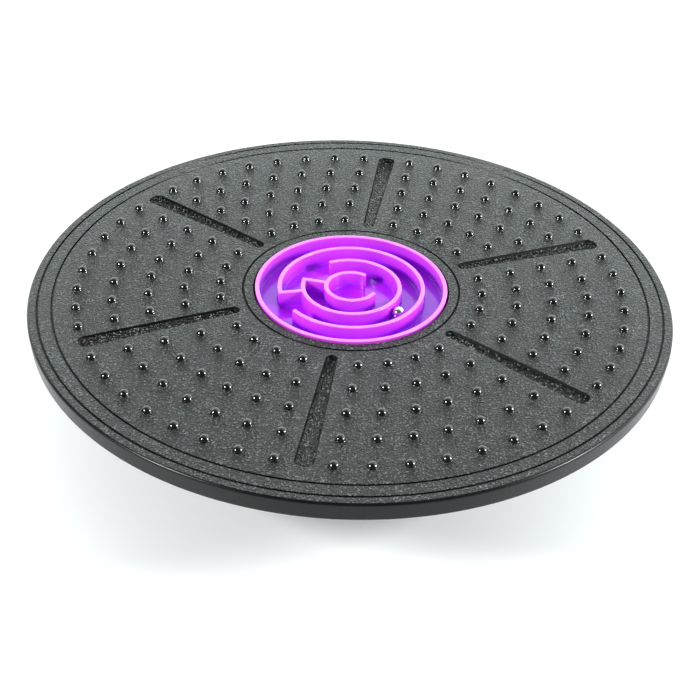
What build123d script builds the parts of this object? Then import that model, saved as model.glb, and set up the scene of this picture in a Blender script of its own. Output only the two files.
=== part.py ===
"""Round wobble board with a ball maze in the middle of its deck, in millimetres.

The origin is on the floor, under the middle of the board, and +Z is up. The board stands level on the flat of
its grip pad. The deck, the maze tray, the dome and the pad are moulded separately and screwed or plugged
together. The steel ball is loose in the open tray.
"""

from build123d import *
import math
import os

# ---- Driving dimensions: the deck ----
DECK_RADIUS = 200.0
RIM_TOP = 82.0  # height of the deck's top edge above the floor
CROWN = 3.7  # how far the top surface rises from its edge to the middle
SKIN = 3.5
RIM_DEPTH = 12.0
RIM_WALL = 3.2
RIM_DRAFT = 1.2  # how far the side band leans in towards its foot
EDGE_ROUND = 1.5

GROOVE_RADII = (67.4, 184.8, 193.7)
GROOVE_WIDTH = 1.8
GROOVE_DEPTH = 1.0

SECTORS = 6
TROUGH_INNER_END = 73.4
TROUGH_OUTER_END = 172.9
TROUGH_INNER_RADIUS = 3.3
TROUGH_OUTER_HALF_WIDTH = 5.4
TROUGH_CORNER_RADIUS = 4.3
TROUGH_DEPTH = 2.3
TROUGH_WALL = 2.5
TROUGH_DRAFT = 24.0  # degrees
TROUGH_FOOT = 1.6  # radius where the walls meet the floor

NUB_RINGS = 5
NUB_FIRST_RING = 81.7
NUB_RING_PITCH = 22.1
NUB_FIRST_COUNT = 4  # nubs of the innermost ring in one sector; each ring outwards has one more
NUB_TROUGH_OFFSET = 16.3  # from a trough's middle line to the nubs beside it
NUB_RADIUS = 3.25
NUB_HEIGHT = 2.9

RIB_COUNT = 36
RIB_WIDTH = 2.4
RIB_RING_RADII = (97.8, 131.0, 164.0)
RIB_BOTTOM = 71.0

# ---- Driving dimensions: the maze ----
TRAY_RADIUS = 60.0
TRAY_TOP = 86.4
TRAY_FLOOR_TOP = 76.4
TRAY_FLOOR = 2.0
MAZE_WALL = 2.6
MAZE_RING_RADII = (46.0, 31.5, 17.0)  # outsides of the inner rings
# Each inner ring wall runs anticlockwise from its first angle to its second, in degrees from +X.
MAZE_RING_SPANS = ((227.0, 561.0), (174.0, 486.0), (64.0, 343.0))
BAFFLE_ANGLES = (200.0, 175.5)  # between the 1st and 2nd, and the 2nd and 3rd, inner rings

WELL_GAP = 1.0
FIT_GAP = 0.2  # between a boss, plug or pad and the hole or seat it goes into
WELL_WALL = 3.0
WELL_FLOOR = 3.0

BALL_RADIUS = 4.0
BALL_LIFT = 0.15
BALL_WALL_GAP = 0.2
BALL_ANGLE = -26.0

TRAY_SCREW_COUNT = 4
TRAY_SCREW_CIRCLE = 38.75  # under the middle channel
TRAY_SCREW_FIRST_ANGLE = 22.5
TRAY_BOSS_RADIUS = 3.5
TRAY_SCREW_RADIUS = 1.45
COLLAR_RADIUS = 6.0  # round each boss, below the well's floor
COLLAR_HEIGHT = 4.0
PILOT_ROOF = 0.8

# ---- Driving dimensions: the dome and its pad ----
PAD_SPHERE = 82.0
PAD_FLAT_RADIUS = 14.0
PAD_RADIUS = 34.0
PAD_PROUD = 1.5
PAD_THICKNESS = 3.0
PAD_TREAD_RADII = (18.0, 23.0, 28.0)
PAD_TREAD_WIDTH = 1.4
PAD_TREAD_DEPTH = 1.0
PAD_STUD_RADIUS = 5.0
PAD_STUD_HEAD_RADIUS = 6.8
PAD_STUD_TIP_RADIUS = 4.0
PAD_STUD_HEAD = 2.6

DOME_WALL = 3.5
DOME_FLOOR_TOP = 9.0
DOME_RIB_COUNT = 8
DOME_RIB_WIDTH = 3.0
DOME_TUBE_RADIUS = 16.0
FLANGE_RADIUS = 96.0
FLANGE_THICKNESS = 3.5
FLANGE_TOP = 73.0

DOME_SCREW_COUNT = 8
DOME_SCREW_CIRCLE = 88.0
DOME_SCREW_RADIUS = 1.9
DOME_SCREW_LENGTH = 10.5
DOME_BOSS_RADIUS = 4.6
SCREW_HEAD_RADIUS = 4.4
SCREW_HEAD = 2.4
SCREW_RECESS_WIDTH = 0.9
SCREW_CLEARANCE = 0.05
FLANGE_HOLE_GAP = 0.3
SCREW_TIP_GAP = 0.6

# ---- Worked out from them ----
CROWN_SPHERE = (DECK_RADIUS**2 + CROWN**2) / (2 * CROWN)
CROWN_CENTRE = RIM_TOP + CROWN - CROWN_SPHERE
RIM_BOTTOM = RIM_TOP - RIM_DEPTH
WELL_RADIUS = TRAY_RADIUS + WELL_GAP
TRAY_BOTTOM = TRAY_FLOOR_TOP - TRAY_FLOOR
WELL_BOTTOM = TRAY_BOTTOM - WELL_FLOOR
COLLAR_BOTTOM = WELL_BOTTOM - COLLAR_HEIGHT
PAD_CENTRE = math.sqrt(PAD_SPHERE**2 - PAD_FLAT_RADIUS**2)
DOME_SPHERE = PAD_SPHERE - PAD_PROUD
PAD_SEAT = PAD_SPHERE - PAD_THICKNESS
FLANGE_BOTTOM = FLANGE_TOP - FLANGE_THICKNESS
BALL_ORBIT = MAZE_RING_RADII[1] + BALL_WALL_GAP + BALL_RADIUS
OVERLAP = 0.5  # how deep joined shapes run into each other before they are fused


def crown_height(radius, below=0.0):
    """Height of the deck's top surface, or of the surface that lies `below` under it."""
    return CROWN_CENTRE + math.sqrt((CROWN_SPHERE - below) ** 2 - radius**2)


def sphere_height(sphere_radius, radius):
    """Height of the underside of a sphere about the pad's centre, at a distance from the axis."""
    return PAD_CENTRE - math.sqrt(sphere_radius**2 - radius**2)


def sphere_width(sphere_radius, height):
    """Distance from the axis at which such a sphere passes a height."""
    return math.sqrt(sphere_radius**2 - (PAD_CENTRE - height) ** 2)


def crown_arc(inner, outer, below=0.0):
    """The crown's line, in the XZ plane, from one radius to another."""
    middle = (inner + outer) / 2
    points = [(r, crown_height(r, below)) for r in (inner, middle, outer)]
    return ThreePointArc(*points)


def dome_arc(sphere_radius, inner, outer):
    """The line of a sphere about the pad's centre, in the XZ plane, from one radius to another."""
    middle = (inner + outer) / 2
    points = [(r, sphere_height(sphere_radius, r)) for r in (inner, middle, outer)]
    return ThreePointArc(*points)


def spun(*edges):
    """A closed outline in the XZ plane, turned once round the Z axis."""
    outline = Plane.XZ * make_face(Curve() + list(edges))
    return revolve(outline, Axis.Z, 360)


def ring(inner, outer, bottom, top):
    """A plain ring or, with no inner radius, a disc."""
    outline = Circle(outer)
    if inner > 0:
        outline -= Circle(inner)
    return Pos(0, 0, bottom) * extrude(outline, top - bottom)


def around(count, radius, first_angle=0.0):
    """Places evenly spaced on a circle, each turned to face outwards."""
    return PolarLocations(radius, count, start_angle=first_angle).locations


def sector(inner, outer, start, end):
    """A flat piece of ring between two angles, in degrees; the ends are cut along radii."""
    inner_arc = CenterArc((0, 0), inner, start, end - start)
    outer_arc = CenterArc((0, 0), outer, start, end - start)
    sides = [Line(inner_arc @ 0, outer_arc @ 0), Line(inner_arc @ 1, outer_arc @ 1)]
    return make_face(Curve() + [inner_arc, outer_arc, *sides])


def tapered_slot(grow=0.0):
    """The trough's outline about the middle of its length: round inner end, broad outer end with round corners."""
    half = (TROUGH_OUTER_END - TROUGH_INNER_END) / 2
    small_x = -half + TROUGH_INNER_RADIUS
    corner_x = half - TROUGH_CORNER_RADIUS
    corner_y = TROUGH_OUTER_HALF_WIDTH - TROUGH_CORNER_RADIUS
    ends = [Pos(small_x, 0) * Circle(TROUGH_INNER_RADIUS + grow)]
    ends += [Pos(corner_x, y) * Circle(TROUGH_CORNER_RADIUS + grow) for y in (corner_y, -corner_y)]
    return make_hull([edge for end in ends for edge in end.edges()])


def trough_planes():
    """For each trough, the plane that touches the crown at the middle of its length, X pointing outwards."""
    middle = (TROUGH_INNER_END + TROUGH_OUTER_END) / 2
    lean = math.degrees(math.asin(middle / CROWN_SPHERE))
    place = Pos(middle, 0, crown_height(middle)) * Rot(0, lean, 0)
    for k in range(SECTORS):
        yield Plane(Rot(0, 0, 90 + 360 / SECTORS * k) * place)


def nub_places():
    """Centres of the nubs: arcs in each sector, evenly spaced between lines beside its two troughs."""
    for k in range(SECTORS):
        for row in range(NUB_RINGS):
            radius = NUB_FIRST_RING + NUB_RING_PITCH * row
            margin = math.degrees(math.asin(NUB_TROUGH_OFFSET / radius))
            last = NUB_FIRST_COUNT + row - 1
            step = (360 / SECTORS - 2 * margin) / last
            for i in range(last + 1):
                angle = math.radians(90 + 360 / SECTORS * k + margin + step * i)
                yield radius * math.cos(angle), radius * math.sin(angle), crown_height(radius)


def deck_body():
    """Skin, side band and the well for the maze, turned in one profile."""
    inner_wall = DECK_RADIUS - RIM_DRAFT - RIM_WALL
    edge_start = DECK_RADIUS - EDGE_ROUND
    shoulder = (edge_start, crown_height(edge_start))
    edge = (DECK_RADIUS, shoulder[1] - EDGE_ROUND)
    chamfer = EDGE_ROUND * (1 - math.sqrt(0.5))
    edge_middle = (DECK_RADIUS - chamfer, shoulder[1] - chamfer)
    skin_end = (DECK_RADIUS - RIM_WALL, crown_height(DECK_RADIUS - RIM_WALL, SKIN))
    wall_outer = WELL_RADIUS + WELL_WALL
    foot = Polyline(
        skin_end,
        (inner_wall, RIM_BOTTOM),
        (DECK_RADIUS - RIM_DRAFT, RIM_BOTTOM),
        edge,
    )
    well = Polyline(
        (WELL_RADIUS, crown_height(WELL_RADIUS)),
        (WELL_RADIUS, TRAY_BOTTOM),
        (0, TRAY_BOTTOM),
        (0, WELL_BOTTOM),
        (wall_outer, WELL_BOTTOM),
        (wall_outer, crown_height(wall_outer, SKIN)),
    )
    skin_under = crown_arc(wall_outer, DECK_RADIUS - RIM_WALL, SKIN)
    rounding = ThreePointArc(edge, edge_middle, shoulder)
    return spun(well, skin_under, foot, rounding, crown_arc(WELL_RADIUS, edge_start))


def deck_ribs():
    """Radial and ring ribs under the skin, with bosses for the dome's screws; stepped up over the flange."""
    wall_outer = WELL_RADIUS + WELL_WALL - OVERLAP
    inner_wall = DECK_RADIUS - RIM_WALL
    lattice = Sketch()
    for radius in RIB_RING_RADII:
        lattice += Circle(radius + RIB_WIDTH / 2) - Circle(radius - RIB_WIDTH / 2)
    length = inner_wall - wall_outer
    for place in around(RIB_COUNT, (wall_outer + inner_wall) / 2):
        lattice += place * Rectangle(length, RIB_WIDTH)
    for place in around(DOME_SCREW_COUNT, DOME_SCREW_CIRCLE, 360 / DOME_SCREW_COUNT / 2):
        lattice += place * Circle(DOME_BOSS_RADIUS)
    seat = RIB_RING_RADII[0] - RIB_WIDTH / 2
    room = spun(
        Polyline(
            (wall_outer, crown_height(wall_outer, SKIN - OVERLAP)),
            (wall_outer, FLANGE_TOP),
            (seat, FLANGE_TOP),
            (seat, RIB_BOTTOM),
            (inner_wall, RIB_BOTTOM),
            (inner_wall, crown_height(inner_wall, SKIN - OVERLAP)),
        ),
        crown_arc(wall_outer, inner_wall, SKIN - OVERLAP),
    )
    height = RIM_TOP + CROWN - RIB_BOTTOM + 2 * OVERLAP
    return (Pos(0, 0, RIB_BOTTOM - OVERLAP) * extrude(lattice, height)) & room


def deck_grooves():
    """Three fine grooves round the top: one about the maze and two near the edge."""
    grooves = []
    for radius in GROOVE_RADII:
        top = crown_height(radius) + OVERLAP
        bottom = crown_height(radius) - GROOVE_DEPTH
        mouth = GROOVE_WIDTH / 2
        foot = GROOVE_WIDTH / 4
        inner_side = ((radius - mouth, top), (radius - foot, bottom))
        outer_side = ((radius + foot, bottom), (radius + mouth, top))
        grooves.append(spun(Polyline(*inner_side, *outer_side, close=True)))
    return grooves


def nub():
    """A domed nub about the point where its middle line meets the deck; its foot is sunk into the skin."""
    sphere_radius = (NUB_RADIUS**2 + NUB_HEIGHT**2) / (2 * NUB_HEIGHT)
    dome = Pos(0, 0, NUB_HEIGHT - sphere_radius) * Sphere(sphere_radius)
    keep = Pos(0, 0, NUB_HEIGHT / 2) * Cylinder(sphere_radius * 2, NUB_HEIGHT + 2 * OVERLAP)
    return dome & keep


def make_deck():
    deck = deck_body() + deck_ribs()
    outline = tapered_slot()
    keel_outline = tapered_slot(TROUGH_WALL)
    keel_depth = TROUGH_DEPTH + TROUGH_WALL
    scoop = extrude(outline, -TROUGH_DEPTH, taper=TROUGH_DRAFT)
    scoop = fillet(scoop.faces().sort_by(Axis.Z)[0].edges(), TROUGH_FOOT)
    troughs = []
    keels = []
    for plane in trough_planes():
        keels.append(plane * Pos(0, 0, -keel_depth) * extrude(keel_outline, keel_depth - SKIN + OVERLAP))
        troughs.append(plane * scoop)
        troughs.append(plane * extrude(outline, 2 * OVERLAP))
    deck = deck + keels - troughs - deck_grooves()
    tray_bosses = around(TRAY_SCREW_COUNT, TRAY_SCREW_CIRCLE, TRAY_SCREW_FIRST_ANGLE)
    collar = ring(0, COLLAR_RADIUS, COLLAR_BOTTOM, WELL_BOTTOM + OVERLAP)
    deck = deck + [place * collar for place in tray_bosses]
    holes = []
    for place in around(DOME_SCREW_COUNT, DOME_SCREW_CIRCLE, 360 / DOME_SCREW_COUNT / 2):
        depth = DOME_SCREW_LENGTH - FLANGE_THICKNESS + SCREW_TIP_GAP
        hole = ring(0, DOME_SCREW_RADIUS + SCREW_CLEARANCE, FLANGE_TOP - OVERLAP, FLANGE_TOP + depth)
        holes.append(place * hole)
    socket = ring(0, TRAY_BOSS_RADIUS + FIT_GAP, COLLAR_BOTTOM - OVERLAP, TRAY_BOTTOM + OVERLAP)
    for place in tray_bosses:
        holes.append(place * socket)
    deck = deck - holes
    one_nub = nub()
    return deck + [Pos(*place) * one_nub for place in nub_places()]


def make_maze_tray():
    """Floor, outer ring, three broken inner rings and two baffles, with bosses under the floor."""
    wall_start = TRAY_FLOOR_TOP - OVERLAP
    tray = ring(0, TRAY_RADIUS, TRAY_BOTTOM, TRAY_FLOOR_TOP)
    tray += ring(TRAY_RADIUS - MAZE_WALL, TRAY_RADIUS, wall_start, TRAY_TOP)
    walls = Sketch()
    for outer, (start, end) in zip(MAZE_RING_RADII, MAZE_RING_SPANS):
        walls += sector(outer - MAZE_WALL, outer, start, end)
    middles = [radius - MAZE_WALL / 2 for radius in MAZE_RING_RADII]
    for outer, inner, angle in zip(middles, middles[1:], BAFFLE_ANGLES):
        walls += Rot(0, 0, angle) * Pos((inner + outer) / 2, 0) * Rectangle(outer - inner, MAZE_WALL)
    tray += Pos(0, 0, wall_start) * extrude(walls, TRAY_TOP - wall_start)
    for place in around(TRAY_SCREW_COUNT, TRAY_SCREW_CIRCLE, TRAY_SCREW_FIRST_ANGLE):
        boss = ring(0, TRAY_BOSS_RADIUS, COLLAR_BOTTOM + FIT_GAP, TRAY_BOTTOM + OVERLAP)
        pilot = ring(0, TRAY_SCREW_RADIUS + SCREW_CLEARANCE, COLLAR_BOTTOM, TRAY_FLOOR_TOP - PILOT_ROOF)
        tray = tray + place * boss - place * pilot
    return tray


def make_steel_ball():
    angle = math.radians(BALL_ANGLE)
    height = TRAY_FLOOR_TOP + BALL_RADIUS + BALL_LIFT
    return Pos(BALL_ORBIT * math.cos(angle), BALL_ORBIT * math.sin(angle), height) * Sphere(BALL_RADIUS)


def make_dome_base():
    """Round shell with a flange that meets the deck, a flat floor inside and ribs up to the deck's well."""
    flange_edge = sphere_width(DOME_SPHERE, FLANGE_BOTTOM)
    seat_edge = PAD_RADIUS + FIT_GAP
    inner_sphere = DOME_SPHERE - DOME_WALL
    floor_edge = sphere_width(inner_sphere, DOME_FLOOR_TOP)
    inner_top = sphere_width(inner_sphere, FLANGE_TOP)
    stud_hole = PAD_STUD_RADIUS + FIT_GAP / 2
    seat_bottom = sphere_height(DOME_SPHERE, seat_edge)
    seat_top = sphere_height(PAD_SEAT, seat_edge)
    dome = spun(
        dome_arc(PAD_SEAT, stud_hole, seat_edge),
        Line((seat_edge, seat_top), (seat_edge, seat_bottom)),
        dome_arc(DOME_SPHERE, seat_edge, flange_edge),
        Polyline(
            (flange_edge, FLANGE_BOTTOM),
            (FLANGE_RADIUS, FLANGE_BOTTOM),
            (FLANGE_RADIUS, FLANGE_TOP),
            (inner_top, FLANGE_TOP),
        ),
        dome_arc(inner_sphere, floor_edge, inner_top),
        Polyline(
            (floor_edge, DOME_FLOOR_TOP),
            (stud_hole, DOME_FLOOR_TOP),
            (stud_hole, sphere_height(PAD_SEAT, stud_hole)),
        ),
    )
    ribs = Circle(DOME_TUBE_RADIUS) - Circle(DOME_TUBE_RADIUS - DOME_RIB_WIDTH)
    length = inner_top - DOME_TUBE_RADIUS + OVERLAP
    for place in around(DOME_RIB_COUNT, DOME_TUBE_RADIUS - OVERLAP + length / 2):
        ribs += place * Rectangle(length, DOME_RIB_WIDTH)
    middle_sphere = DOME_SPHERE - DOME_WALL / 2
    room_edge = sphere_width(middle_sphere, DOME_FLOOR_TOP - OVERLAP)
    room_top = sphere_width(middle_sphere, WELL_BOTTOM)
    room = spun(
        dome_arc(middle_sphere, room_edge, room_top),
        Polyline(
            (room_top, WELL_BOTTOM),
            (0, WELL_BOTTOM),
            (0, DOME_FLOOR_TOP - OVERLAP),
            (room_edge, DOME_FLOOR_TOP - OVERLAP),
        ),
    )
    dome += extrude(ribs, FLANGE_TOP) & room
    for place in around(DOME_SCREW_COUNT, DOME_SCREW_CIRCLE, 360 / DOME_SCREW_COUNT / 2):
        hole = ring(0, DOME_SCREW_RADIUS + FLANGE_HOLE_GAP, FLANGE_BOTTOM - OVERLAP, FLANGE_TOP + OVERLAP)
        dome -= place * hole
    return dome


def make_grip_pad():
    """Soft pad in the dome's seat, flat where it rests, with tread rings and a plug through the dome."""
    head_top = DOME_FLOOR_TOP + FIT_GAP + PAD_STUD_HEAD
    edge_bottom = sphere_height(PAD_SPHERE, PAD_RADIUS)
    edge_top = sphere_height(PAD_SEAT, PAD_RADIUS)
    pad = spun(
        Line((0, 0), (PAD_FLAT_RADIUS, 0)),
        dome_arc(PAD_SPHERE, PAD_FLAT_RADIUS, PAD_RADIUS),
        Line((PAD_RADIUS, edge_bottom), (PAD_RADIUS, edge_top)),
        dome_arc(PAD_SEAT, PAD_STUD_RADIUS, PAD_RADIUS),
        Polyline(
            (PAD_STUD_RADIUS, sphere_height(PAD_SEAT, PAD_STUD_RADIUS)),
            (PAD_STUD_RADIUS, DOME_FLOOR_TOP + FIT_GAP),
            (PAD_STUD_HEAD_RADIUS, DOME_FLOOR_TOP + FIT_GAP),
            (PAD_STUD_TIP_RADIUS, head_top),
            (0, head_top),
            (0, 0),
        ),
    )
    for radius in PAD_TREAD_RADII:
        height = sphere_height(PAD_SPHERE, radius)
        inner = radius - PAD_TREAD_WIDTH / 2
        pad -= ring(inner, inner + PAD_TREAD_WIDTH, height - 2 * OVERLAP, height + PAD_TREAD_DEPTH)
    return pad


def screw(shank_radius, length):
    """A pan-headed self-tapping screw pointing up, its head's bearing face at Z 0, with a cross recess."""
    rim = SCREW_HEAD * 0.4
    head = spun(
        Polyline((0, 0), (SCREW_HEAD_RADIUS, 0), (SCREW_HEAD_RADIUS, -rim)),
        ThreePointArc(
            (SCREW_HEAD_RADIUS, -rim),
            (SCREW_HEAD_RADIUS * 0.62, -SCREW_HEAD * 0.88),
            (0, -SCREW_HEAD),
        ),
        Line((0, -SCREW_HEAD), (0, 0)),
    )
    tip = shank_radius * 0.5
    shank = spun(
        Polyline(
            (0, -OVERLAP),
            (shank_radius, -OVERLAP),
            (shank_radius, length - 2 * tip),
            (tip, length),
            (0, length),
            close=True,
        )
    )
    bar = Rectangle(SCREW_HEAD_RADIUS * 1.1, SCREW_RECESS_WIDTH)
    recess = bar + Rot(0, 0, 90) * bar
    return head + shank - Pos(0, 0, -SCREW_HEAD - OVERLAP) * extrude(recess, OVERLAP + SCREW_HEAD * 0.55)


def make_dome_screws():
    one = Pos(0, 0, FLANGE_BOTTOM) * screw(DOME_SCREW_RADIUS, DOME_SCREW_LENGTH)
    places = around(DOME_SCREW_COUNT, DOME_SCREW_CIRCLE, 360 / DOME_SCREW_COUNT / 2)
    return Compound(children=[place * one for place in places])


def make_tray_screws():
    length = TRAY_FLOOR_TOP - PILOT_ROOF - SCREW_TIP_GAP - COLLAR_BOTTOM
    one = Pos(0, 0, COLLAR_BOTTOM) * screw(TRAY_SCREW_RADIUS, length)
    places = around(TRAY_SCREW_COUNT, TRAY_SCREW_CIRCLE, TRAY_SCREW_FIRST_ANGLE)
    return Compound(children=[place * one for place in places])


PARTS = {
    "deck": make_deck,
    "maze_tray": make_maze_tray,
    "steel_ball": make_steel_ball,
    "tray_screws": make_tray_screws,
    "dome_base": make_dome_base,
    "dome_screws": make_dome_screws,
    "grip_pad": make_grip_pad,
}

os.makedirs("parts", exist_ok=True)
for name, make in PARTS.items():
    export_step(make(), f"parts/{name}.step")
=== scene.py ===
import math

import bmesh
import bpy
from mathutils import Matrix, Vector


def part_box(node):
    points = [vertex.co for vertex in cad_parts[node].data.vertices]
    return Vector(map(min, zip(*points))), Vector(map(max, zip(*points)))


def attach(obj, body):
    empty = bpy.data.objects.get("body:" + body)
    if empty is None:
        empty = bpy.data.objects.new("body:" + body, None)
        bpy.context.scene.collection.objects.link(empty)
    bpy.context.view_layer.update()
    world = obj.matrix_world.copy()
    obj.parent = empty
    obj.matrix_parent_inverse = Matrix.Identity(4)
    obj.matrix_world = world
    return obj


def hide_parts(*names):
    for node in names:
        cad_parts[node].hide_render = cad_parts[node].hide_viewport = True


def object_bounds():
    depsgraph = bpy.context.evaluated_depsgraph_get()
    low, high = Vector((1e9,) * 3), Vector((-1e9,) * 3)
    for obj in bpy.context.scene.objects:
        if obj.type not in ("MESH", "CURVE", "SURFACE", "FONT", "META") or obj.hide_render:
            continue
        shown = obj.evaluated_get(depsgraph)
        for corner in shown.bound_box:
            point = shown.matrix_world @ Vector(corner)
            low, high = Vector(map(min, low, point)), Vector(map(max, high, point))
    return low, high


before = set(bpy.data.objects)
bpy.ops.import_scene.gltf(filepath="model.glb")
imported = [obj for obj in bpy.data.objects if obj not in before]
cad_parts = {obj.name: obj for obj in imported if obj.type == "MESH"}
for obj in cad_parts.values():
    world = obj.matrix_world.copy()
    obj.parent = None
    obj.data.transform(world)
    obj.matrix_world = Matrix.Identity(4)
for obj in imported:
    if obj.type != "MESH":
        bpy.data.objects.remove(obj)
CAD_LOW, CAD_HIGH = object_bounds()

# ---- The deck -----------------------------------------------------------------------------------------
# One black polypropylene moulding: a crowned round skin with fine leather grain, a plain side band, six
# tapered troughs, a well for the maze, and a lattice of ribs underneath. All else is fastened to it.

MM = 0.001
deck_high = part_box("deck")[1] / MM
tray_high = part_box("maze_tray")[1] / MM
dome_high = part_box("dome_base")[1] / MM

DECK_RADIUS = min(deck_high.x, deck_high.y)
RIM_TOP = 82.0
CROWN = 3.7  # the rise of the top from its edge to its middle
CROWN_SPHERE = (DECK_RADIUS**2 + CROWN**2) / (2 * CROWN)
SKIN = 3.5
RIM_DEPTH = 12.0
RIM_BOTTOM = RIM_TOP - RIM_DEPTH
RIM_WALL = 3.2
RIM_DRAFT = 1.2
MOULD_ROUND = 0.8  # at the feet of the rim and of the well
EDGE_ROUND = 1.9

WELL_RADIUS = tray_high.x + 1.0
WELL_WALL = 3.0
WELL_FLOOR = 3.0
WELL_FOOT_ROUND = 0.4
WELL_LIP_ROUND = 0.5
TRAY_FLOOR = 2.0
TRAY_FLOOR_TOP = tray_high.z - 10.0
TRAY_BOTTOM = TRAY_FLOOR_TOP - TRAY_FLOOR
WELL_BOTTOM = TRAY_BOTTOM - WELL_FLOOR

GROOVE_RADII = (67.4, 184.8, 193.7)
GROOVE_HALF_WIDTH = 0.7
GROOVE_DEPTH = 1.0
GROOVE_FLOOR_SHARE = 0.35  # of the mouth's width
GROOVE_LIP_ROUND = 0.25
GROOVE_FOOT_ROUND = 0.12
GROOVE_MARGIN = 0.6  # flat kept beside a groove, so that its lip can be rounded

SECTORS = 6
SECTOR = 360 / SECTORS
TROUGH_INNER_END = 73.4
TROUGH_OUTER_END = 172.9
TROUGH_INNER_RADIUS = 3.3
TROUGH_CORNER_RADIUS = 4.3
TROUGH_CORNER_Y = 1.1
TROUGH_DEPTH = 2.3
TROUGH_DRAFT = math.radians(24)
TROUGH_EDGE = 0.5
TROUGH_WALL = 2.5
TROUGH_FOOT = 1.6
ROUND_STEPS = 5  # points round the lip and the foot of a trough or a maze wall

RIB_COUNT = 36
RIB_HALF_WIDTH = 1.2
RIB_RINGS = (97.8, 131.0, 164.0)
RIB_BOTTOM = 71.0
FLANGE_TOP = dome_high.z
DOME_SCREWS = [(88.0, 22.5 + 45 * k) for k in range(8)]  # radius, and angle in degrees
DOME_BOSS_RADIUS = 4.6
DOME_HOLE_RADIUS = 1.95
DOME_HOLE_TOP = FLANGE_TOP + 7.6
TRAY_BOSSES = [(38.75, 22.5 + 90 * k) for k in range(4)]
TRAY_BOSS_RADIUS = 3.5
COLLAR_RADIUS = 6.0
COLLAR_HEIGHT = 4.0
BOSS_GAP = 0.2
OVERLAP = 0.5  # how far a shape reaches into the one that it is fused to


def crown_height(radius, below=0.0):
    """Height of the deck's top surface, or of the surface that lies below it."""
    sphere = CROWN_SPHERE - below
    return RIM_TOP + CROWN - CROWN_SPHERE + math.sqrt(sphere**2 - radius**2)


def on_circle(radius, degrees):
    """A point of the XY plane, from its distance to the middle and its angle from +X."""
    return radius * math.cos(math.radians(degrees)), radius * math.sin(math.radians(degrees))


def rounded(corners, steps=5):
    """An outline whose corners (x, y, radius) are rounded; a corner with no radius stays a single point."""
    points = []
    for i, (x, y, radius) in enumerate(corners):
        here = Vector((x, y))
        before = Vector(corners[i - 1][:2]) - here
        after = Vector(corners[(i + 1) % len(corners)][:2]) - here
        if radius == 0:
            points.append((x, y))
            continue
        half = before.angle(after) / 2
        start = here + before.normalized() * radius / math.tan(half)
        end = here + after.normalized() * radius / math.tan(half)
        centre = here + (before.normalized() + after.normalized()).normalized() * radius / math.sin(half)
        turn = (start - centre).angle_signed(end - centre)
        for k in range(steps + 1):
            spoke = Matrix.Rotation(-turn * k / steps, 2) @ (start - centre)
            points.append(tuple(centre + spoke))
    return points


def smoothed(mesh, degrees=32):
    """Smooth shading, but for the edges that turn more than an angle."""
    mesh.shade_smooth()
    mesh.set_sharp_from_angle(angle=math.radians(degrees))


def new_piece(name, shape, smooth_under=32):
    """A smooth-shaded object from a bmesh in millimetres."""
    bmesh.ops.remove_doubles(shape, verts=shape.verts, dist=1e-4)
    bmesh.ops.recalc_face_normals(shape, faces=shape.faces)
    mesh = bpy.data.meshes.new(name)
    shape.to_mesh(mesh)
    shape.free()
    mesh.transform(Matrix.Scale(MM, 4))
    smoothed(mesh, smooth_under)
    piece = bpy.data.objects.new(name, mesh)
    bpy.context.scene.collection.objects.link(piece)
    return piece


def turned(outline, steps):
    """A bmesh of an (r, z) outline, turned once round the Z axis; points on the axis become poles."""
    shape = bmesh.new()
    rings = []
    for radius, height in outline:
        count = steps if radius > 1e-6 else 1
        places = [on_circle(radius, 360 * k / count) for k in range(count)]
        rings.append([shape.verts.new((x, y, height)) for x, y in places])
    closed = outline[0][0] > 1e-6 and outline[-1][0] > 1e-6
    pairs = list(zip(rings, rings[1:])) + ([(rings[-1], rings[0])] if closed else [])
    for lower, upper in pairs:
        for k in range(steps):
            corners = []
            for ring, at in ((lower, k), (lower, k + 1), (upper, k + 1), (upper, k)):
                vert = ring[at % len(ring)]
                if vert not in corners:
                    corners.append(vert)
            if len(corners) > 2:
                shape.faces.new(corners)
    return shape


def stacked(layers):
    """A closed bmesh through layers of equally many points, flat-capped at its ends."""
    shape = bmesh.new()
    rings = [[shape.verts.new(point) for point in layer] for layer in layers]
    for lower, upper in zip(rings, rings[1:]):
        for k in range(len(lower)):
            after = (k + 1) % len(lower)
            shape.faces.new((lower[k], lower[after], upper[after], upper[k]))
    shape.faces.new(reversed(rings[0]))
    shape.faces.new(rings[-1])
    return shape


def joined(shapes):
    """One bmesh that holds several."""
    whole = bmesh.new()
    for shape in shapes:
        mesh = bpy.data.meshes.new("part")
        shape.to_mesh(mesh)
        shape.free()
        whole.from_mesh(mesh)
        bpy.data.meshes.remove(mesh)
    return whole


def worked(piece, operation, shapes):
    """Cuts, fuses or trims a piece with closed shapes, one solid at a time."""
    for shape in shapes:
        tool = new_piece("tool", shape)
        step = piece.modifiers.new("work", "BOOLEAN")
        step.operation = operation
        step.solver = "MANIFOLD"
        step.object = tool
        settled = piece.evaluated_get(bpy.context.evaluated_depsgraph_get())
        mesh = bpy.data.meshes.new_from_object(settled)
        piece.modifiers.remove(step)
        piece.data = mesh
        bpy.data.objects.remove(tool)
    return piece


def round_bar(place, radius, bottom, top, steps=32):
    """An upright cylinder at a place given by its distance from the middle and its angle."""
    x, y = on_circle(*place)
    rim = [on_circle(radius, 360 * k / steps) for k in range(steps)]
    return stacked([[(x + u, y + v, z) for u, v in rim] for z in (bottom, top)])


def bars(places, radius, bottom, top):
    """Upright cylinders of one size at several places."""
    return [round_bar(place, radius, bottom, top) for place in places]


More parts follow.
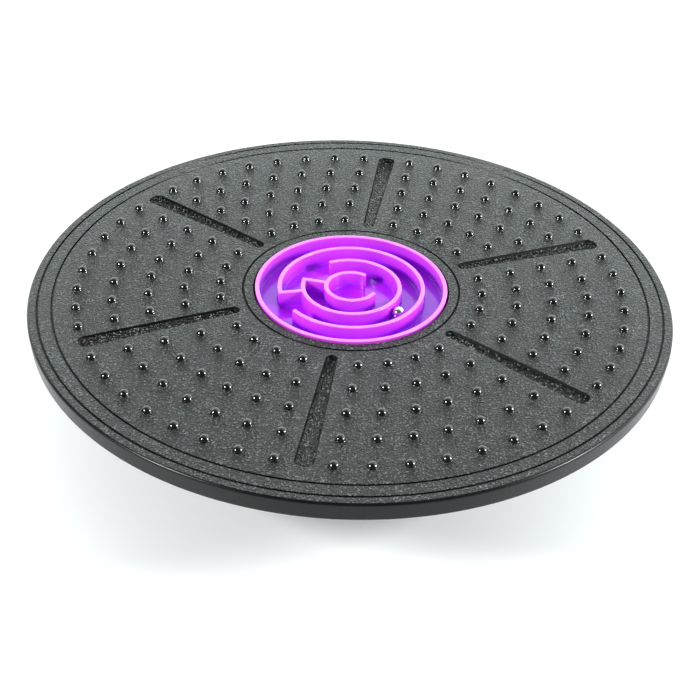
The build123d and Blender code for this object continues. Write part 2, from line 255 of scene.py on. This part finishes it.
def trough_outline(grow, side_steps=24, arc_steps=10):
    """A trough's outline along +X, grown by an offset: a narrow inner end and a broad, rounded outer end."""
    small_x = TROUGH_INNER_END + TROUGH_INNER_RADIUS
    corner_x = TROUGH_OUTER_END - TROUGH_CORNER_RADIUS
    span = Vector((corner_x - small_x, TROUGH_CORNER_Y))
    lean = math.atan2(span.y, span.x) + math.acos((TROUGH_INNER_RADIUS - TROUGH_CORNER_RADIUS) / span.length)
    points = []

    def arc(x, y, radius, start, end):
        for k in range(arc_steps + 1):
            angle = start + (end - start) * k / arc_steps
            points.append((x + radius * math.cos(angle), y + radius * math.sin(angle)))

    def side(end):
        start = Vector(points[-1])
        points.extend(tuple(start.lerp(Vector(end), k / side_steps)) for k in range(1, side_steps))

    small = TROUGH_INNER_RADIUS + grow
    corner = TROUGH_CORNER_RADIUS + grow
    arc(small_x, 0, small, lean, math.tau - lean)
    side((corner_x + corner * math.cos(-lean), -TROUGH_CORNER_Y + corner * math.sin(-lean)))
    arc(corner_x, -TROUGH_CORNER_Y, corner, -lean, 0)
    arc(corner_x, TROUGH_CORNER_Y, corner, 0, lean)
    side((small_x + small * math.cos(lean), small * math.sin(lean)))
    return points


def along_trough(profile, sector):
    """A closed shape through a trough's outline at each (offset, height over the crown), in one sector."""
    layers = []
    for grow, over in profile:
        layer = []
        for x, y in trough_outline(grow):
            u, v = on_circle(math.hypot(x, y), math.degrees(math.atan2(y, x)) + 90 + SECTOR * sector)
            layer.append((u, v, crown_height(math.hypot(x, y)) + over))
        layers.append(layer)
    return stacked(layers)


def crown_line(inner, outer, step=3.0):
    """Points of the top, from the well to the rim, with the three grooves let into it."""
    edge = GROOVE_HALF_WIDTH
    margin = (edge + GROOVE_MARGIN, 0, 0)
    lip = (edge, 0, GROOVE_LIP_ROUND)
    foot = (edge * GROOVE_FLOOR_SHARE, GROOVE_DEPTH, GROOVE_FOOT_ROUND)
    line = []
    radius = inner
    for groove in GROOVE_RADII:
        while radius < groove - edge - step:
            line.append((radius, crown_height(radius), 0))
            radius += step
        for side, points in ((-1, (margin, lip, foot)), (1, (foot, lip, margin))):
            for away, depth, fillet in points:
                place = groove + side * away
                line.append((place, crown_height(place) - depth, fillet))
        radius = groove + edge + step
    while radius < outer:
        line.append((radius, crown_height(radius), 0))
        radius += step
    return line


def evenly(start, end, steps=16):
    """Numbers from the start to the end, both included."""
    return [start + (end - start) * k / steps for k in range(steps + 1)]


wall_outer = WELL_RADIUS + WELL_WALL
skin_outer = DECK_RADIUS - RIM_WALL
deck_outline = [
    (0, TRAY_BOTTOM, 0),
    (WELL_RADIUS, TRAY_BOTTOM, WELL_FOOT_ROUND),
    (WELL_RADIUS, crown_height(WELL_RADIUS), WELL_LIP_ROUND),
]
deck_outline += crown_line(WELL_RADIUS + 1.2, DECK_RADIUS - EDGE_ROUND - 0.5)
deck_outline += [
    (DECK_RADIUS, crown_height(DECK_RADIUS), EDGE_ROUND),
    (DECK_RADIUS - RIM_DRAFT, RIM_BOTTOM, MOULD_ROUND),
    (DECK_RADIUS - RIM_DRAFT - RIM_WALL, RIM_BOTTOM, MOULD_ROUND),
]
deck_outline += [(r, crown_height(r, SKIN), 0) for r in evenly(skin_outer, wall_outer)]
deck_outline += [(wall_outer, WELL_BOTTOM, MOULD_ROUND), (0, WELL_BOTTOM, 0)]
deck = new_piece("deck_moulding", turned(rounded(deck_outline), 480))

# The ribs under the skin, stepped up over the dome's flange, and the bosses for the dome's screws.
rib_start = wall_outer - OVERLAP
rib_end = DECK_RADIUS - RIM_DRAFT - RIM_WALL + OVERLAP
rib_seat = RIB_RINGS[0] - RIB_HALF_WIDTH
rib_room = [(rib_start, FLANGE_TOP), (rib_seat, FLANGE_TOP), (rib_seat, RIB_BOTTOM), (rib_end, RIB_BOTTOM)]
rib_room += [(r, crown_height(r, SKIN - OVERLAP)) for r in evenly(rib_end, rib_start)]
RIB_LOW = RIB_BOTTOM - 2
RIB_HIGH = RIM_TOP + CROWN


def straight_rib(degrees):
    """A wall along a radius, a little longer and taller than the room it is trimmed to."""
    ends = [(rib_start - 1, -RIB_HALF_WIDTH), (rib_end + 1, -RIB_HALF_WIDTH)]
    ends += [(rib_end + 1, RIB_HALF_WIDTH), (rib_start - 1, RIB_HALF_WIDTH)]
    flat = [on_circle(math.hypot(x, y), math.degrees(math.atan2(y, x)) + degrees) for x, y in ends]
    return stacked([[(x, y, z) for x, y in flat] for z in (RIB_LOW, RIB_HIGH)])


def round_rib(radius):
    """A ring wall, taller than the room it is trimmed to."""
    inner, outer = radius - RIB_HALF_WIDTH, radius + RIB_HALF_WIDTH
    return turned([(inner, RIB_LOW), (outer, RIB_LOW), (outer, RIB_HIGH), (inner, RIB_HIGH)], 240)


ribs = new_piece("ribs", round_rib(RIB_RINGS[0]))
worked(ribs, "UNION", [round_rib(radius) for radius in RIB_RINGS[1:]])
worked(ribs, "UNION", [straight_rib(360 / RIB_COUNT * k) for k in range(RIB_COUNT)])
worked(ribs, "UNION", bars(DOME_SCREWS, DOME_BOSS_RADIUS, RIB_LOW, RIB_HIGH))
worked(ribs, "INTERSECT", [turned(rib_room, 240)])


def as_shape(piece):
    """A piece's mesh as a bmesh in millimetres; the piece itself goes."""
    shape = bmesh.new()
    shape.from_mesh(piece.data)
    shape.transform(Matrix.Scale(1 / MM, 4))
    bpy.data.objects.remove(piece)
    return shape


worked(deck, "UNION", [as_shape(ribs)])

# Each trough is a keel below the skin with its recess cut in: a small round at the lip, leaning walls and a
# rounded foot.
recess = [(TROUGH_EDGE * 0.8, 1.5)]
for k in range(ROUND_STEPS):
    t = math.radians(80 - 20 * k)
    recess.append((TROUGH_EDGE * (1 - math.cos(t)), TROUGH_EDGE * (math.sin(t) - 1)))
foot_over = -TROUGH_DEPTH + TROUGH_FOOT * (1 - math.sin(TROUGH_DRAFT))
foot_grow = (foot_over + TROUGH_EDGE) * math.tan(TROUGH_DRAFT)
for t in evenly(TROUGH_DRAFT, math.pi / 2, ROUND_STEPS - 1):
    inward = TROUGH_FOOT * (math.cos(TROUGH_DRAFT) - math.cos(t))
    recess.append((foot_grow - inward, foot_over - TROUGH_FOOT * (math.sin(t) - math.sin(TROUGH_DRAFT))))
keel_bottom = -TROUGH_DEPTH - TROUGH_WALL
keel = [
    (TROUGH_WALL, OVERLAP - SKIN),
    (TROUGH_WALL - 0.8, keel_bottom + 0.3),
    (TROUGH_WALL - 1.2, keel_bottom),
]
worked(deck, "UNION", [along_trough(keel, sector) for sector in range(SECTORS)])
collar_bottom = WELL_BOTTOM - COLLAR_HEIGHT
worked(deck, "UNION", bars(TRAY_BOSSES, COLLAR_RADIUS, collar_bottom, WELL_BOTTOM + OVERLAP))
worked(deck, "DIFFERENCE", [along_trough(recess, sector) for sector in range(SECTORS)])
boss_hole_radius = TRAY_BOSS_RADIUS + BOSS_GAP
worked(deck, "DIFFERENCE", bars(TRAY_BOSSES, boss_hole_radius, collar_bottom - 1, TRAY_BOTTOM + 1))
worked(deck, "DIFFERENCE", bars(DOME_SCREWS, DOME_HOLE_RADIUS, RIB_LOW, DOME_HOLE_TOP))


class Wire:
    """An output of a shader node. Python's sums on it add Math nodes, and node() adds any other node."""

    def __init__(self, tree, socket):
        self.tree = tree
        self.socket = socket

    def node(self, kind, settings, inputs, output=0):
        """Sets a new node's settings, then fills its inputs with values or wires, and returns an output."""
        new = self.tree.nodes.new(kind)
        for setting, value in settings.items():
            setattr(new, setting, value)
        for name, value in inputs.items():
            if isinstance(value, Wire):
                self.tree.links.new(value.socket, new.inputs[name])
            else:
                new.inputs[name].default_value = value
        return Wire(self.tree, new.outputs[output])

    def into(self, shader, name):
        self.tree.links.new(self.socket, shader.inputs[name])

    def math(self, operation, *values):
        return self.node("ShaderNodeMath", {"operation": operation}, dict(enumerate(values)))

    def __add__(self, other):
        return self.math("ADD", self, other)

    def __sub__(self, other):
        return self.math("SUBTRACT", self, other)

    def __rsub__(self, other):
        return self.math("SUBTRACT", other, self)

    def __mul__(self, other):
        return self.math("MULTIPLY", self, other)

    __radd__ = __add__
    __rmul__ = __mul__


def new_finish(name, **constants):
    """A material with one Principled shader: returns it, the shader, and the wire of places in the piece."""
    material = bpy.data.materials.new(name)
    material.use_nodes = True
    tree = material.node_tree
    shader = tree.nodes["Principled BSDF"]
    for socket, value in constants.items():
        shader.inputs[socket.replace("_", " ")].default_value = value
    places = tree.nodes.new("ShaderNodeTexCoord").outputs["Object"]
    return material, shader, Wire(tree, places)


def noise(place, size, detail=2.0, roughness=0.5):
    """Soft random blotches about as wide as size, in millimetres."""
    inputs = {"Vector": place, "Scale": 1 / (size * MM), "Detail": detail, "Roughness": roughness}
    return place.node("ShaderNodeTexNoise", {}, inputs)


def blend_colours(factor, first, second):
    """A colour that goes from the first, a wire or a colour, to the second with a wire from 0 to 1."""
    if not isinstance(first, Wire):
        first = (*first, 1)
    return factor.node("ShaderNodeMix", {"data_type": "RGBA"}, {0: factor, 6: first, 7: (*second, 1)}, 2)


def bumped(shader, height, depth):
    """Raises a surface by a wire from 0 to 1 times a depth in millimetres, in its normals only."""
    height.node("ShaderNodeBump", {}, {"Height": height, "Distance": depth * MM}).into(shader, "Normal")


def leather_grain(place, size):
    """Heights of moulded leather: small uneven pebbles between creases, and a few longer wrinkles."""
    drift = {0: noise(place, size * 2), "Scale": size * MM}
    wander = place.node("ShaderNodeVectorMath", {"operation": "SCALE"}, drift)
    moved = place.node("ShaderNodeVectorMath", {"operation": "ADD"}, {0: place, 1: wander})
    cells = {"Vector": moved, "Scale": 1 / (size * MM)}
    pebbles = place.node("ShaderNodeTexVoronoi", {"feature": "SMOOTH_F1"}, cells)
    fine = noise(place, size * 0.7, 1)
    wrinkles = noise(moved, size * 7, 4, 0.65)
    return (1 - pebbles) * 0.55 + fine * 0.55 + wrinkles * 0.2


def leather_finish():
    """Black polypropylene with a fine leather grain: painted sheen makes the tops of the grain greyer, and
    broad patches are greyer at random.
    """
    material, shader, place = new_finish("black_leather_grain", Specular_IOR_Level=0.4)
    grain = leather_grain(place, 1.3)
    patches = noise(place, 34, 3)
    # Painted sheen: the tops of the grain are painted grey as light caught on them; the broad patches are
    # random tone.
    grain_sheen_and_patches = (grain - 0.78) * 11 + patches * 0.3
    blend_colours(grain_sheen_and_patches, (0.0004, 0.0005, 0.0005), (0.135, 0.159, 0.155)).into(shader, "Base Color")
    (0.24 + grain * 0.1 + patches * 0.08).into(shader, "Roughness")
    bumped(shader, grain, 3.6)
    return material


def trough_finish():
    """The coarser, glossier pebbling of the trough floors, whose pebble tops are painted light grey as
    painted glints.
    """
    material, shader, place = new_finish("black_coarse_grain", Specular_IOR_Level=0.45)
    grain = leather_grain(place, 1.6)
    # Painted glints: the tops of the pebbles are painted light grey.
    painted_pebble_glints = (grain - 0.79) * 12
    blend_colours(painted_pebble_glints, (0.0005, 0.0005, 0.0005), (0.22, 0.24, 0.235)).into(shader, "Base Color")
    (0.14 + grain * 0.1).into(shader, "Roughness")
    bumped(shader, grain, 4.0)
    return material


def satin_finish(name, dark, light, rough, gloss=0.5):
    """Plain satin moulding with the faintest mottle and fine tool marks."""
    material, shader, place = new_finish(name, Specular_IOR_Level=gloss)
    mottle = noise(place, 9, 4)
    blend_colours(mottle, dark, light).into(shader, "Base Color")
    (rough + mottle * 0.12).into(shader, "Roughness")
    bumped(shader, noise(place, 0.35, 2), 0.02)
    return material


deck.data.materials.clear()
deck.data.materials.append(leather_finish())
deck.data.materials.append(trough_finish())
for name, dark, light, rough, gloss in (
    ("black_satin", (0.003, 0.0033, 0.004), (0.006, 0.0065, 0.007), 0.2, 0.22),
    # Painted shade: a darker black than the satin, for the trough walls and the innermost groove.
    ("black_painted_shade_wall", (0.001, 0.001, 0.001), (0.004, 0.004, 0.004), 0.35, 0.12),
):
    deck.data.materials.append(satin_finish(name, dark, light, rough, gloss))
LEATHER, COARSE, SATIN, WALL = range(4)
GRAIN_DEPTH = 0.12  # the leather grain stops this far below the crown
GROOVE_GRAIN_DEPTH = 0.3
PEBBLE_DEPTH = 1.15  # the coarse pebbling of the troughs starts here
for face in deck.data.polygons:
    x, y, z = face.center / MM
    radius = math.hypot(x, y)
    over = z - crown_height(radius)
    face.material_index = LEATHER
    if radius > DECK_RADIUS - EDGE_ROUND * 0.8 or over < -GRAIN_DEPTH:
        face.material_index = SATIN
    in_trough = TROUGH_INNER_END - 1 < radius < TROUGH_OUTER_END + 1
    # Trough walls take the darker black, painted shade; the trough floors take the coarse pebbling.
    if in_trough and -TROUGH_DEPTH - 0.5 < over < -GRAIN_DEPTH:
        face.material_index = COARSE if over < -PEBBLE_DEPTH else WALL
    # The innermost groove takes the darker black too, painted shade; the outer grooves take the satin.
    in_groove = any(abs(radius - groove) < GROOVE_HALF_WIDTH for groove in GROOVE_RADII)
    if in_groove and over < -GROOVE_GRAIN_DEPTH:
        face.material_index = WALL if radius < TROUGH_INNER_END else SATIN
smoothed(deck.data)
deck.modifiers.new("even_shading", "WEIGHTED_NORMAL").keep_sharp = True
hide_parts("deck")
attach(deck, "board")

# ---- The nubs -----------------------------------------------------------------------------------------
# Glossy massage nubs, moulded in one with the deck in five rings of each sector. Each is a low dome with a
# small fillet round its foot, which is let into the skin.

NUB_FIRST_RING = 81.7
NUB_RING_PITCH = 22.1
NUB_RINGS = 5
NUB_FIRST_COUNT = 4  # each ring outwards has one more in a sector
NUB_TROUGH_OFFSET = 16.3
NUB_RADIUS = 3.25
NUB_HEIGHT = 2.9
NUB_FILLET = 0.2
NUB_SINK = 0.4

nub_sphere = (NUB_RADIUS**2 + NUB_HEIGHT**2) / (2 * NUB_HEIGHT)
nub_outline = [(0, -NUB_SINK), (NUB_RADIUS + NUB_FILLET, -NUB_SINK), (NUB_RADIUS + NUB_FILLET, -0.02)]
nub_outline += [
    (NUB_RADIUS + NUB_FILLET * (1 - math.sin(t)), NUB_FILLET * (1 - math.cos(t)))
    for t in (math.radians(20 * k) for k in range(1, 5))
]
foot_angle = math.asin((nub_sphere - NUB_HEIGHT + NUB_FILLET) / nub_sphere)
nub_outline += [
    (nub_sphere * math.cos(t), NUB_HEIGHT - nub_sphere + nub_sphere * math.sin(t))
    for t in (foot_angle + (math.pi / 2 - foot_angle) * k / 9 for k in range(9))
]
nub_outline += [(0, NUB_HEIGHT)]
nub_shapes = []
for sector in range(SECTORS):
    for ring in range(NUB_RINGS):
        radius = NUB_FIRST_RING + NUB_RING_PITCH * ring
        margin = math.degrees(math.asin(NUB_TROUGH_OFFSET / radius))
        last = NUB_FIRST_COUNT + ring - 1
        for i in range(last + 1):
            x, y = on_circle(radius, 90 + SECTOR * sector + margin + (SECTOR - 2 * margin) * i / last)
            shape = turned(nub_outline, 28)
            shape.transform(Matrix.Translation((x, y, crown_height(radius))))
            nub_shapes.append(shape)
nubs = new_piece("deck_nubs", joined(nub_shapes), 50)


def nub_finish():
    """Polished black, with the slight ripple of a worn tool."""
    material, shader, place = new_finish("black_polished_nub", Specular_IOR_Level=1.0)
    mottle = noise(place, 1.6, 2)
    blend_colours(mottle, (0.002, 0.002, 0.002), (0.004, 0.004, 0.004)).into(shader, "Base Color")
    (0.07 + mottle * 0.06).into(shader, "Roughness")
    bumped(shader, mottle, 0.02)
    return material


nubs.data.materials.append(nub_finish())
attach(nubs, "board")

# ---- The maze tray ------------------------------------------------------------------------------------
# A glossy, slightly translucent purple moulding: a floor with an outer ring, and inside it one winding wall
# of three broken rings joined by two baffles. It sits in the deck's well, held by screws in four bosses.

TRAY_RADIUS = min(tray_high.x, tray_high.y)
TRAY_TOP = tray_high.z
MAZE_WALL = 2.6
MAZE_EDGE = 0.45
MAZE_FOOT = 0.6
RING_B, RING_C, RING_D = 46.0, 31.5, 17.0
B_START = 227.0
C_END = 486.0
D_START, D_END = 64.0, 343.0
BAFFLE_BC, BAFFLE_CD = 200.0, 175.5
PILOT_RADIUS = 1.5
PILOT_ROOF = 0.8

tray_outline = [
    (0, TRAY_BOTTOM, 0),
    (TRAY_RADIUS, TRAY_BOTTOM, 0.4),
    (TRAY_RADIUS, TRAY_TOP, MAZE_EDGE),
    (TRAY_RADIUS - MAZE_WALL, TRAY_TOP, MAZE_EDGE),
    (TRAY_RADIUS - MAZE_WALL, TRAY_FLOOR_TOP, MAZE_FOOT),
    (0, TRAY_FLOOR_TOP, 0),
]
tray = new_piece("maze_tray_moulding", turned(rounded(tray_outline), 240))


def winding_wall():
    """The outline of the inner walls, anticlockwise: corners where a ring ends or a baffle meets it."""
    half = MAZE_WALL / 2
    b_in, c_in, d_in = RING_B - MAZE_WALL, RING_C - MAZE_WALL, RING_D - MAZE_WALL
    corners = []

    def at(radius, baffle, side):
        """Angle at which one face of a baffle passes a radius."""
        return baffle + side * math.degrees(math.asin(half / radius))

    def arc(radius, start, end, first_round, last_round):
        count = max(2, round(abs(end - start) * radius / 60))
        for k in range(count + 1):
            fillet = first_round if k == 0 else last_round if k == count else 0
            corners.append((*on_circle(radius, start + (end - start) * k / count), fillet))

    tip, crook = 0.5, 0.4
    arc(RING_B, B_START, at(RING_B, BAFFLE_BC, 1) + 360, tip, tip)
    arc(RING_C, at(RING_C, BAFFLE_BC, 1), C_END, crook, tip)
    arc(c_in, C_END, at(c_in, BAFFLE_CD, 1), tip, crook)
    arc(RING_D, at(RING_D, BAFFLE_CD, 1), D_END, crook, tip)
    arc(d_in, D_END, D_START, tip, tip)
    arc(RING_D, D_START, at(RING_D, BAFFLE_CD, -1), tip, crook)
    arc(RING_C, at(RING_C, BAFFLE_CD, -1), at(RING_C, BAFFLE_BC, -1), tip, crook)
    arc(b_in, at(b_in, BAFFLE_BC, -1) + 360, B_START, crook, tip)
    return rounded(corners, 4)


def inset(outline, distance):
    """An outline moved inwards by a distance, along the bisector at each of its points."""
    moved = []
    for i, point in enumerate(outline):
        here = Vector(point)
        into = (here - Vector(outline[i - 1])).normalized()
        out = (Vector(outline[(i + 1) % len(outline)]) - here).normalized()
        normal = Vector((-into.y - out.y, into.x + out.x)).normalized()
        moved.append(tuple(here + normal * distance / max(0.5, normal.dot(Vector((-into.y, into.x))))))
    return moved


wall = winding_wall()
wall_layers = [(-MAZE_FOOT, TRAY_FLOOR_TOP - 0.4)]
for k in range(ROUND_STEPS):
    t = math.radians(80 - 20 * k)
    wall_layers.append((-MAZE_FOOT * (1 - math.cos(t)), TRAY_FLOOR_TOP + MAZE_FOOT * (1 - math.sin(t))))
for t in evenly(0, math.pi / 2, ROUND_STEPS - 1):
    wall_layers.append((MAZE_EDGE * (1 - math.cos(t)), TRAY_TOP - MAZE_EDGE * (1 - math.sin(t))))
layers = [[(x, y, height) for x, y in inset(wall, distance)] for distance, height in wall_layers]
worked(tray, "UNION", [stacked(layers)])
boss_bottom = collar_bottom + BOSS_GAP
worked(tray, "UNION", bars(TRAY_BOSSES, TRAY_BOSS_RADIUS, boss_bottom, TRAY_BOTTOM + OVERLAP))
worked(tray, "DIFFERENCE", bars(TRAY_BOSSES, PILOT_RADIUS, collar_bottom, TRAY_FLOOR_TOP - PILOT_ROOF))


def purple_finish():
    """Vivid purple plastic that glows a little from within, with faint flow marks; painted shade makes it
    deeper and bluer at the floor and the feet of the walls, painted light makes it pinker up the walls, and
    a painted highlight lightens their top edges.
    """
    material, shader, place = new_finish(
        "purple_gloss",
        Subsurface_Weight=0.3,
        Subsurface_Scale=0.004,
        Subsurface_Radius=(1.0, 0.25, 1.0),
        Specular_IOR_Level=0.5,
    )
    height = place.node("ShaderNodeSeparateXYZ", {}, {0: place}, 2)
    flow = noise(place, 14, 3)
    up_the_wall = (height - TRAY_FLOOR_TOP * MM) * (1 / (TRAY_TOP - TRAY_FLOOR_TOP) / MM)
    # Painted shade and light: deep blue-purple at the floor and the feet of the walls, lighter pink towards
    # their tops, varied by faint flow marks.
    painted_light_up_wall = up_the_wall * 0.9 + flow * 0.3 - 0.15
    painted_shade_tint = blend_colours(painted_light_up_wall, (0.44, 0.012, 0.84), (0.66, 0.078, 0.62))
    # Painted highlight: a pale pink band along the tops of the walls.
    painted_top_highlight = (up_the_wall - 0.93) * 30
    blend_colours(painted_top_highlight, painted_shade_tint, (0.74, 0.19, 0.76)).into(shader, "Base Color")
    (0.11 + noise(place, 3, 3) * 0.08).into(shader, "Roughness")
    bumped(shader, noise(place, 2.2, 3), 0.03)
    return material


tray.data.materials.clear()
tray.data.materials.append(purple_finish())
smoothed(tray.data)
tray.modifiers.new("even_shading", "WEIGHTED_NORMAL").keep_sharp = True
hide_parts("maze_tray")
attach(tray, "board")

# ---- The ball -----------------------------------------------------------------------------------------
# One polished bearing ball, loose in the channel between the second and third rings.

ball_low, ball_high = (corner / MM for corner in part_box("steel_ball"))
ball_centre = (ball_low + ball_high) / 2
ball_radius = (ball_high.z - ball_low.z) / 2
ball_shape = bmesh.new()
bmesh.ops.create_icosphere(ball_shape, subdivisions=5, radius=ball_radius)
ball_shape.transform(Matrix.Translation(ball_centre))
ball = new_piece("bearing_ball", ball_shape)


def polished_steel():
    """Mirror-polished steel with hair-fine scuffs from rolling."""
    material, shader, place = new_finish("polished_steel", Metallic=1.0)
    scuffs = noise(place, 0.7, 5, 0.7)
    blend_colours(scuffs, (0.86, 0.86, 0.86), (0.94, 0.94, 0.94)).into(shader, "Base Color")
    (0.03 + scuffs * 0.09).into(shader, "Roughness")
    bumped(shader, scuffs, 0.004)
    return material


ball.data.materials.append(polished_steel())
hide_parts("steel_ball")
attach(ball, "ball")

# ---- The tray's screws and the dome's screws ----------------------------------------------------------
# Zinc-plated pan-headed self-tapping screws, driven up from below: four into the tray's bosses, inside the
# dome, and eight through the dome's flange into the deck.


def zinc_finish():
    """Zinc plate: bright, a little yellow-blue, and dulled in patches."""
    material, shader, place = new_finish("zinc_plate", Metallic=1.0)
    tarnish = noise(place, 1.2, 4)
    blend_colours(tarnish, (0.52, 0.52, 0.49), (0.74, 0.74, 0.73)).into(shader, "Base Color")
    (0.24 + tarnish * 0.2).into(shader, "Roughness")
    bumped(shader, noise(place, 0.3, 2), 0.01)
    return material


def refinish(node, material):
    """Gives a CAD node that keeps its shape a finish of its own."""
    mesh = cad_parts[node].data
    mesh.materials.clear()
    mesh.materials.append(material)
    for face in mesh.polygons:
        face.material_index = 0


zinc = zinc_finish()
refinish("tray_screws", zinc)
refinish("dome_screws", zinc)

# ---- The dome -----------------------------------------------------------------------------------------
# The round black shell that the board rocks on, ribbed inside. It is moulded in polypropylene, with a flange
# that is screwed under the deck.

refinish("dome_base", satin_finish("black_dome_satin", (0.018, 0.019, 0.020), (0.030, 0.031, 0.032), 0.34))

# ---- The grip pad -------------------------------------------------------------------------------------
# A soft rubber pad in the dome's seat, plugged through it, with three tread rings round a flat that stands
# on the floor.


def rubber_finish():
    """Matte black rubber, dusty in its pores."""
    material, shader, place = new_finish("matte_rubber", Specular_IOR_Level=0.3)
    dust = noise(place, 5, 4)
    blend_colours(dust, (0.022, 0.022, 0.023), (0.062, 0.061, 0.058)).into(shader, "Base Color")
    (0.62 + dust * 0.2).into(shader, "Roughness")
    bumped(shader, noise(place, 0.5, 3), 0.06)
    return material


refinish("grip_pad", rubber_finish())

# ---- The studio ---------------------------------------------------------------------------------------
# A pale floor that runs out of sight, a bright sweep of white behind, soft light from above, and two lamps
# low on either side.

FLOOR_HALF_WIDTH = 6000
LAMP_DISTANCE = 1.1
LAMP_SIZE = 0.24
LAMP_POWER = 13


def plain_floor():
    """A flat pale sheet that the pad stands on."""
    shape = bmesh.new()
    bmesh.ops.create_grid(shape, x_segments=1, y_segments=1, size=FLOOR_HALF_WIDTH)
    floor = new_piece("studio_floor", shape)
    floor.location.z = CAD_LOW.z
    material, shader, place = new_finish("pale_floor", Roughness=0.6, Specular_IOR_Level=0.2)
    blend_colours(noise(place, 400, 3), (0.90, 0.915, 0.92), (0.92, 0.93, 0.935)).into(shader, "Base Color")
    floor.data.materials.append(material)


def lamp(name, azimuth, elevation):
    """A soft round lamp aimed at the board; azimuth 0 is in front, and grows to the right."""
    light = bpy.data.lights.new(name, "AREA")
    light.shape = "DISK"
    light.size = LAMP_SIZE
    light.energy = LAMP_POWER
    source = bpy.data.objects.new(name, light)
    around, up = math.radians(azimuth), math.radians(elevation)
    way = Vector((math.sin(around) * math.cos(up), -math.cos(around) * math.cos(up), math.sin(up)))
    source.location = way * LAMP_DISTANCE + Vector((0, 0, deck_high.z * MM))
    source.rotation_euler = way.to_track_quat("Z", "Y").to_euler()
    bpy.context.scene.collection.objects.link(source)


def studio_sky():
    """White all round, brightest low down behind the board and dimmer overhead and in front."""
    world = bpy.data.worlds.new("studio")
    world.use_nodes = True
    bpy.context.scene.world = world
    tree = world.node_tree
    back = tree.nodes["Background"]
    way = Wire(tree, tree.nodes.new("ShaderNodeTexCoord").outputs["Generated"])
    across, depth, height = (way.node("ShaderNodeSeparateXYZ", {}, {0: way}, axis) for axis in range(3))
    smooth = {"interpolation_type": "SMOOTHSTEP"}
    low = way.node("ShaderNodeMapRange", {}, {0: height, 1: 0.0, 2: 1.0, 3: 1.0, 4: 0.3})
    facing = depth * 0.95 + across * 0.3
    behind = way.node("ShaderNodeMapRange", smooth, {0: facing, 1: -0.25, 2: 0.5, 3: 0.0, 4: 1.0})
    (0.1 + low * behind * 3.0).into(back, "Strength")
    back.inputs["Color"].default_value = (0.92, 1.0, 0.985, 1)


plain_floor()
studio_sky()
lamp("left_lamp", -50, 28)
lamp("right_lamp", 80, 24)

TARGET = Vector((8.9, -63.2, crown_height(170.1))) * MM
CAMERA_AZIMUTH = math.radians(7.45)
CAMERA_ELEVATION = math.radians(35.9)
CAMERA_ROLL = math.radians(-2.06)
CAMERA_DISTANCE = 0.917
camera_data = bpy.data.cameras.new("camera")
camera_data.lens = 79.63
camera_data.sensor_width = 36
camera = bpy.data.objects.new("camera", camera_data)
bpy.context.scene.collection.objects.link(camera)
back = Vector(
    (
        math.sin(CAMERA_AZIMUTH) * math.cos(CAMERA_ELEVATION),
        -math.cos(CAMERA_AZIMUTH) * math.cos(CAMERA_ELEVATION),
        math.sin(CAMERA_ELEVATION),
    )
)
level = Vector((math.cos(CAMERA_AZIMUTH), math.sin(CAMERA_AZIMUTH), 0))
upright = back.cross(level)
right = level * math.cos(CAMERA_ROLL) - upright * math.sin(CAMERA_ROLL)
up = level * math.sin(CAMERA_ROLL) + upright * math.cos(CAMERA_ROLL)
turn = Matrix((right, up, back)).transposed()
camera.matrix_world = Matrix.Translation(TARGET + back * CAMERA_DISTANCE) @ turn.to_4x4()
bpy.context.scene.camera = camera
bpy.context.scene.view_settings.view_transform = "Standard"
